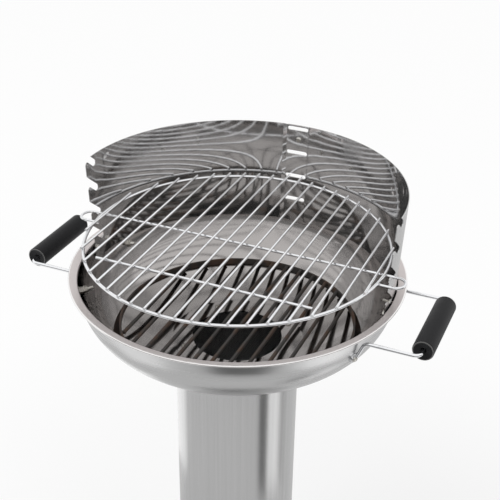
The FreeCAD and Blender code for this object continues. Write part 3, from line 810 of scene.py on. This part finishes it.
class GRILL_OT_windshield(Fitting):
    """Polish the two windshield sheets and screw them together and to the bowl"""

    bl_idname = "grill.windshield"
    bl_label = "Windshield"

    def execute(self, context):
        colours = context.scene.grill_colours
        sheet = context.scene.grill_sheet
        mirror = polished_sheet(
            "shield_mirror", colours.polish, rough=0.05, satin=0.26, wave=0.05, sizes=sheet)
        dress(["windshield_left", "windshield_right"], mirror)
        zinc = plated_steel("shield_zinc", colours.zinc, rough=0.26, grain=0.05)
        bolt_pieces("shield", self.screws(context.scene.grill_fasteners, sheet), zinc)
        return {"FINISHED"}

    def screws(self, sizes, sheet):
        """Two small screws from the bowl through each end of the windshield, and one at its lap."""
        screws = []
        z = RIM_HEIGHT - sizes.shield_drop
        inner = shield_radius(sheet, z) - sheet.shield
        for side in (-1, 1):
            for y in (sizes.shield_front, sizes.shield_back):
                spot, normal = wall_spot(sheet, y, z, side)
                radius = math.hypot(spot[0], spot[1])
                out = np.array([spot[0], spot[1], 0.0]) / radius
                shank = (spot, -out, radius - inner + sizes.shield_reach)
                seat = (UP * z + out * inner, -out)
                screws.append(bolt(sizes, (spot, normal), shank, seat, sizes.shield_scale))
        z = RIM_HEIGHT + sizes.lap_rise
        lap = 2 * sheet.shield + sheet.lap_gap
        back = np.array([sizes.lap_shift, shield_radius(sheet, z), z])
        front = back - REAR * lap
        shank = (front, REAR, lap + sizes.lap_past * sizes.nut_height)
        screws.append(bolt(sizes, (front, -REAR), shank, (back, REAR)))
        return screws


class GRILL_OT_grate(Fitting):
    """Plate the cooking grate's wires and weld them where they cross"""

    bl_idname = "grill.grate"
    bl_label = "Cooking grate"

    def execute(self, context):
        colours = context.scene.grill_colours
        sizes = context.scene.grill_fasteners
        plate = chromed_wire("grate_chrome", shaded(colours.chrome, 1.12), rough=0.07)
        dress(GRATE_BARS + ["grate_ring", "grate_carrier", "grate_cross_wire"], plate)
        ring_wire = RING_HIGH.z - RING_LOW.z
        carrier_wire = CARRIER_HIGH.z - CARRIER_LOW.z
        middle_y = (RING_LOW.y + RING_HIGH.y) / 2
        middle_radius = RING_HIGH.x - ring_wire / 2
        cross_y = (CROSS_LOW.y + CROSS_HIGH.y) / 2
        beads = []
        for name in GRATE_BARS:
            low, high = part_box(name)
            x = (low.x + high.x) / 2
            reach = math.sqrt(middle_radius ** 2 - x ** 2)
            ends = (middle_y - reach, middle_y + reach)
            beads += [bead((x, y, low.z), sizes, RING_BEAD) for y in ends]
            if abs(x) < CROSS_HIGH.x:
                beads.append(bead((x, cross_y, low.z), sizes, CROSS_BEAD))
        for y in (CARRIER_HIGH.y - carrier_wire / 2, CARRIER_LOW.y + carrier_wire / 2):
            reach = math.sqrt(middle_radius ** 2 - (y - middle_y) ** 2)
            beads += [bead((x, y, RING_LOW.z), sizes, CARRIER_BEAD) for x in (-reach, reach)]
        piece("grate_welds", beads, "cooking_grate", [plate])
        return {"FINISHED"}


class GRILL_OT_handles(Fitting):
    """Turn the grips, plate the handle wires and bolt their eyelets to the bowl"""

    bl_idname = "grill.handles"
    bl_label = "Handles"

    def execute(self, context):
        scene = context.scene
        colours = scene.grill_colours
        chrome = chromed_wire("handle_chrome", shaded(colours.chrome, 1.18), rough=0.06)
        dress(["handle_wire_left", "handle_wire_right"], chrome)
        plastic = [
            moulded_plastic("grip_plastic", colours.plastic, rough=0.45),
            # Paler copy of the plastic: a painted highlight on the grips' rounded edges
            moulded_plastic("grip_worn_edge", colours.painted_highlight, rough=0.35),
        ]
        zinc = plated_steel("bolt_zinc", colours.zinc, rough=0.30, grain=0.05)
        for side in ("left", "right"):
            grid, bands = grip_grid(scene.grill_grip, *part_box(f"grip_{side}"))
            made = piece(f"grip_{side}_turned", [grid], f"grip_{side}", plastic,
                         loop=True, bands=bands)
            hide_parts(f"grip_{side}")
        self.feet(scene.grill_fasteners, scene.grill_sheet, zinc)
        return {"FINISHED"}

    def feet(self, sizes, sheet, zinc):
        """A bolt through each eyelet and the bowl, with washer and nut inside."""
        bolts, washers = [], []
        for side in (-1, 1):
            for step in (-sizes.foot_y, sizes.foot_y):
                y = sizes.foot_shift + step
                spot, normal = wall_spot(sheet, y, RIM_HEIGHT - sizes.foot_drop, side)
                inside = spot - normal * sheet.sheet
                head = (spot + normal * sizes.eyelet, normal)
                nut = (inside - normal * sizes.washer_sheet, -normal)
                bolts.append(bolt(sizes, head, (inside, -normal, sizes.reach), nut))
                washers.append(placed(washer(sizes), inside, -normal))
        bolt_pieces("handle", bolts, zinc, washers)


class GRILL_OT_charcoal(Fitting):
    """Darken the charcoal grate and weld its bars to the hoop"""

    bl_idname = "grill.charcoal"
    bl_label = "Charcoal grate"

    def execute(self, context):
        sizes = context.scene.grill_fasteners
        scale = scaled_wire("charcoal_scale", context.scene.grill_colours.scale)
        dress(CHARCOAL_BARS + ["charcoal_hoop"], scale)
        beads = []
        for name in CHARCOAL_BARS:
            low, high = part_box(name)
            x, z = (low.x + high.x) / 2, (low.z + high.z) / 2
            beads += [bead((x, y, z), sizes, HOOP_BEAD) for y in (low.y, high.y)]
        piece("charcoal_welds", beads, "charcoal_grate", [scale])
        return {"FINISHED"}


class GRILL_OT_column(Fitting):
    """Brush the column and bolt it to the bowl and the foot"""

    bl_idname = "grill.column"
    bl_label = "Column"

    def execute(self, context):
        colours = context.scene.grill_colours
        sizes = context.scene.grill_fasteners
        sheet = context.scene.grill_sheet
        dress(["column"], drawn_steel("column_brushed", colours.steel, rough=0.24))
        zinc = plated_steel("flange_zinc", colours.zinc, rough=0.30, grain=0.05)
        # Height of the heads and of the nuts at each flange
        flanges = (
            (BOWL_BOTTOM + sheet.sheet, BOWL_BOTTOM - sheet.sheet),
            (COLUMN_LOW.z + sheet.sheet, FOOT_HIGH.z - sheet.foot),
        )
        bolts = []
        for high, low in flanges:
            reach = high - low + sizes.flange_past * sizes.nut_height
            for turn in TURN * (np.arange(4) + 0.5) / 4:
                at = sizes.flange * np.array([math.cos(turn), math.sin(turn), 0.0])
                top = at + UP * high
                bolts.append(bolt(sizes, (top, UP), (top, -UP, reach), (at + UP * low, -UP)))
        bolt_pieces("flange", bolts, zinc)
        return {"FINISHED"}


class GRILL_OT_collar(Fitting):
    """Brush the air collar, roll its edges and mould the knobs"""

    bl_idname = "grill.collar"
    bl_label = "Air collar"

    def execute(self, context):
        colours = context.scene.grill_colours
        sheet = context.scene.grill_sheet
        brushed = drawn_steel("collar_brushed", colours.steel, rough=0.22)
        dress(["air_collar"], brushed)
        radius = COLLAR_HIGH.x - sheet.hem_sink
        heights = (COLLAR_LOW.z + sheet.hem, COLLAR_HIGH.z - sheet.hem)
        rings = [hem_ring(radius, z, sheet.hem) for z in heights]
        piece("collar_hems", rings, "air_regulator", [brushed], loop=True)
        plastic = moulded_plastic("knob_plastic", colours.plastic, rough=0.34)
        dress(["collar_knob", "ash_pan_knob"], plastic)
        return {"FINISHED"}


class GRILL_OT_ash_pan(Fitting):
    """Brush the ash pan's front, rivet it to the pan, and plate the pan and its runners"""

    bl_idname = "grill.ash_pan"
    bl_label = "Ash pan"

    def execute(self, context):
        colours = context.scene.grill_colours
        sizes = context.scene.grill_fasteners
        dress(["ash_pan_front"], drawn_steel("pan_front_brushed", colours.steel, rough=0.24))
        plate = plated_steel("pan_plated", shaded(colours.steel, 0.85), rough=0.38, grain=0.06)
        dress(["ash_pan", "ash_runner_left", "ash_runner_right"], plate)
        front = -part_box("ash_pan_front")[0].y
        z = (PAN_LOW.z + PAN_HIGH.z) / 2
        heads = []
        for x in (-sizes.rivet_x, sizes.rivet_x):
            out = np.array([x, -math.sqrt(front ** 2 - x ** 2), 0.0])
            heads.append(placed(rivet(sizes.rivet), out + UP * z, out))
        steel = plated_steel("rivet_steel", colours.zinc, rough=0.28, grain=0.04)
        piece("pan_rivets", heads, "ash_drawer", [steel])
        return {"FINISHED"}


class GRILL_OT_foot(Fitting):
    """Spin the foot plate and set its rubber pads"""

    bl_idname = "grill.foot"
    bl_label = "Foot"

    def execute(self, context):
        colours = context.scene.grill_colours
        hem = context.scene.grill_sheet.hem
        satin = spun_steel(
            "foot_satin", colours.steel, rough=0.30, lines=0.05, gloss_lines=0.12, anisotropic=0.4)
        dress(["foot_plate"], satin)
        edge = [hem_ring(FOOT_HIGH.x - hem, FOOT_LOW.z + hem, hem)]
        piece("foot_hem", edge, "stand", [satin], loop=True)
        dress(FOOT_PADS, pad_rubber("pad_rubber", colours.rubber))
        return {"FINISHED"}


class GRILL_OT_stage(Fitting):
    """Set the floor, the lamps, the world, the cards and the camera"""

    bl_idname = "grill.stage"
    bl_label = "Stage"

    def execute(self, context):
        studio = context.scene.grill_studio
        context.scene.view_settings.view_transform = "Standard"
        self.world(context, studio)
        self.floor(context, studio)
        for name, at, size, power in LAMPS:
            self.lamp(context, name, at, size, getattr(studio, power))
        for values in CARDS:
            self.card(context, studio, *values)
        self.camera(context, studio)
        return {"FINISHED"}

    def seen(self, net):
        """1 where a ray comes from the camera, a mirror or glass, and 0 where it lights things."""
        path = net.add("ShaderNodeLightPath").socket.node.outputs
        names = ("Is Camera Ray", "Is Glossy Ray", "Is Transmission Ray")
        camera, glossy, clear = (Signal(net, path[name]) for name in names)
        return camera.math("MINIMUM", camera + glossy + clear, 1.0)

    def world(self, context, studio):
        """White where it is seen, and an even light elsewhere."""
        world = bpy.data.worlds.new("studio")
        world.use_nodes = True
        context.scene.world = world
        net = Net(world.node_tree)
        strength = studio.ambient + self.seen(net) * (1.0 - studio.ambient)
        inputs = {"Color": (1, 1, 1, 1), "Strength": strength}
        net.output(net.add("ShaderNodeBackground", None, inputs), "ShaderNodeOutputWorld")

    def floor(self, context, studio):
        """Wide pale floor that glows where it is seen, less near the grill, for a soft shadow."""
        mesh = bpy.data.meshes.new("floor")
        corners = np.array([[-1, -1, 0], [1, -1, 0], [1, 1, 0], [-1, 1, 0]]) * studio.reach
        mesh.from_pydata(corners.tolist(), [], [[0, 1, 2, 3]])
        floor = bpy.data.objects.new("floor", mesh)
        context.scene.collection.objects.link(floor)
        net = Finish("floor_white")
        x, y, _ = net.split(net.place)
        far = net.stepped(net.away(x, y), studio.near, studio.far)
        white = studio.floor_near + (studio.floor - studio.floor_near) * far
        tone = net.shades(net.noise(scale=3.0), (1, 1, 1), 0.86, 0.90)
        matte = net.add("ShaderNodeBsdfDiffuse", None, {"Color": tone})
        glow = net.add("ShaderNodeEmission", None, {"Color": (1, 1, 1, 1), "Strength": 1.0})
        inputs = {0: self.seen(net) * white, 1: matte, 2: glow}
        net.output(net.add("ShaderNodeMixShader", None, inputs))
        mesh.materials.append(net.material)

    def card(self, context, studio, name, low, high, start, end, low_tone, high_tone):
        """Card that only mirrors see: the line from low to high (r, z), swept between two angles.

        The angles are in degrees from the camera's side. An upright card shades between its tones.
        """
        turn = studio.azimuth - TURN / 4 + np.radians(np.linspace(start, end, 49))[:, None]
        r, z = np.array([low, high]).T
        heights = np.broadcast_to(z, (len(turn), 2))
        grid = np.stack([np.cos(turn) * r, np.sin(turn) * r, heights], axis=-1)
        mesh = bpy.data.meshes.new(name)
        mesh.from_pydata(grid.reshape(-1, 3), [], grid_faces(len(turn), 2, False)[:-1].tolist())
        net = Finish(name)
        # The last millimetre keeps the step's ends apart on a level card
        rise = net.stepped(net.split(net.place)[2], low[1], high[1] + 0.001)
        tone = net.tint(rise, [low_tone] * 3, [high_tone] * 3)
        net.output(net.add("ShaderNodeEmission", None, {"Color": tone, "Strength": 1.0}))
        mesh.materials.append(net.material)
        card = bpy.data.objects.new(name, mesh)
        for rays in ("camera", "diffuse", "transmission", "shadow"):
            setattr(card, f"visible_{rays}", False)
        context.scene.collection.objects.link(card)

    def lamp(self, context, name, at, size, power):
        """A square area lamp turned to the grill, unseen in mirrors."""
        data = bpy.data.lights.new(name, "AREA")
        data.size = size
        data.energy = power
        lamp = bpy.data.objects.new(name, data)
        lamp.visible_glossy = False
        lamp.location = at
        lamp.rotation_euler = (Vector(LAMP_AIM) - Vector(at)).to_track_quat("-Z", "Y").to_euler()
        context.scene.collection.objects.link(lamp)

    def camera(self, context, studio):
        """Camera on a line from the middle of the rim."""
        a, e, roll = studio.azimuth, studio.elevation, studio.roll
        right = Vector((math.cos(a), math.sin(a), 0.0))
        back = Vector((math.sin(a) * math.cos(e), -math.cos(a) * math.cos(e), math.sin(e)))
        up = back.cross(right)
        across = right * math.cos(roll) + up * math.sin(roll)
        over = up * math.cos(roll) - right * math.sin(roll)
        data = bpy.data.cameras.new("camera")
        data.lens = studio.lens
        data.shift_x = studio.shift_x
        data.shift_y = studio.shift_y
        camera = bpy.data.objects.new("camera", data)
        at = Vector((0, 0, RIM_HEIGHT)) + back * studio.distance
        turn = Matrix((across, over, back)).transposed().to_4x4()
        camera.matrix_world = Matrix.Translation(at) @ turn
        context.scene.collection.objects.link(camera)
        context.scene.camera = camera


class GRILL_PT_panel(Panel):
    """Sidebar panel that lists the dressing steps"""

    bl_idname = "GRILL_PT_panel"
    bl_label = "Pillar grill"
    bl_space_type = "VIEW_3D"
    bl_region_type = "UI"
    bl_category = "Grill"

    def draw(self, context):
        for step in STEPS:
            self.layout.operator(step.bl_idname)


GROUPS = {
    "grill_sheet": GrillSheet,
    "grill_grip": GrillGrip,
    "grill_fasteners": GrillFasteners,
    "grill_colours": GrillColours,
    "grill_studio": GrillStudio,
}
STEPS = (
    GRILL_OT_bowl,
    GRILL_OT_windshield,
    GRILL_OT_grate,
    GRILL_OT_handles,
    GRILL_OT_charcoal,
    GRILL_OT_column,
    GRILL_OT_collar,
    GRILL_OT_ash_pan,
    GRILL_OT_foot,
    GRILL_OT_stage,
)


def register():
    """Register the groups, the steps and the panel."""
    for name, group in GROUPS.items():
        bpy.utils.register_class(group)
        setattr(bpy.types.Scene, name, PointerProperty(type=group))
    for kind in (*STEPS, GRILL_PT_panel):
        bpy.utils.register_class(kind)


def unregister():
    """Undo register."""
    for kind in (GRILL_PT_panel, *reversed(STEPS)):
        bpy.utils.unregister_class(kind)
    for name, group in GROUPS.items():
        delattr(bpy.types.Scene, name)
        bpy.utils.unregister_class(group)


def main():
    register()
    for step in STEPS:
        family, name = step.bl_idname.split(".")
        getattr(getattr(bpy.ops, family), name)()


if __name__ == "__main__":
    main()
